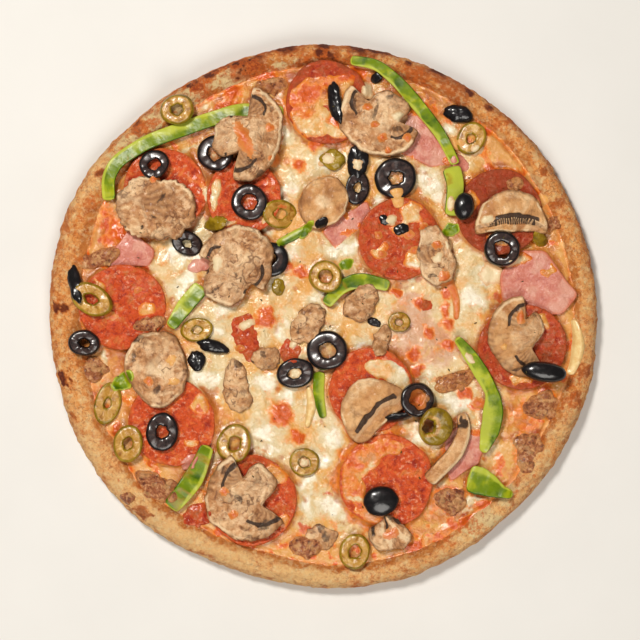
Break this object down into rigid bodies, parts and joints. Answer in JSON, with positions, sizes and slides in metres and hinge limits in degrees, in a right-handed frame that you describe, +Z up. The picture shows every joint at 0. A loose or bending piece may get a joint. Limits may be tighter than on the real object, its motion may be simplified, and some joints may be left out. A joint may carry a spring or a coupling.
{
  "type": "pizza",
  "caption": "Whole round baked pizza with a raised crust, melted browned cheese, pepperoni, ham, mushroom slices, green pepper strips and black and green olives",
  "frame": {"origin": "on the table surface, under the middle of the crust's outline", "axes": "+Z is up out of the toppings, +X is the right of the pizza and +Y its far side as seen from above"},
  "size_m": [0.292, 0.2898, 0.0267],
  "materials": {
    "baked_crust": "dry baked dough, golden with darker spots",
    "melted_cheese": "soft, oily, browned in blisters",
    "pepperoni": "oily, red with pale fat",
    "ham": "moist, pink",
    "mushroom": "roasted, tan with dark gills",
    "green_pepper": "waxy skin",
    "black_olive": "wet, black",
    "green_olive": "wet, yellow green"
  },
  "bodies": {
    "root": {"crust": "baked_crust", "cheese": "melted_cheese", "pepperoni_01": "pepperoni", "pepperoni_02": "pepperoni", "pepperoni_03": "pepperoni", "pepperoni_04": "pepperoni", "pepperoni_05": "pepperoni", "pepperoni_06": "pepperoni", "pepperoni_07": "pepperoni", "pepperoni_08": "pepperoni", "pepperoni_09": "pepperoni", "pepperoni_10": "pepperoni", "pepperoni_11": "pepperoni", "ham_01": "ham", "ham_02": "ham", "ham_03": "ham", "ham_04": "ham", "ham_05": "ham", "mushroom_01": "mushroom", "mushroom_02": "mushroom", "mushroom_03": "mushroom", "mushroom_04": "mushroom", "mushroom_05": "mushroom", "mushroom_06": "mushroom", "mushroom_07": "mushroom", "mushroom_08": "mushroom", "mushroom_09": "mushroom", "mushroom_10": "mushroom", "mushroom_11": "mushroom", "mushroom_12": "mushroom", "mushroom_13": "mushroom", "pepper_01": "green_pepper", "pepper_02": "green_pepper", "pepper_03": "green_pepper", "pepper_04": "green_pepper", "pepper_05": "green_pepper", "pepper_06": "green_pepper", "pepper_07": "green_pepper", "pepper_08": "green_pepper", "black_olive_01": "black_olive", "black_olive_02": "black_olive", "black_olive_03": "black_olive", "black_olive_04": "black_olive", "black_olive_05": "black_olive", "black_olive_06": "black_olive", "black_olive_07": "black_olive", "black_olive_08": "black_olive", "black_olive_09": "black_olive", "black_olive_10": "black_olive", "black_olive_11": "black_olive", "black_olive_12": "black_olive", "black_olive_13": "black_olive", "black_olive_14": "black_olive", "green_olive_01": "green_olive", "green_olive_02": "green_olive", "green_olive_03": "green_olive", "green_olive_04": "green_olive", "green_olive_05": "green_olive", "green_olive_06": "green_olive", "green_olive_07": "green_olive"}
  },
  "joints": []
}
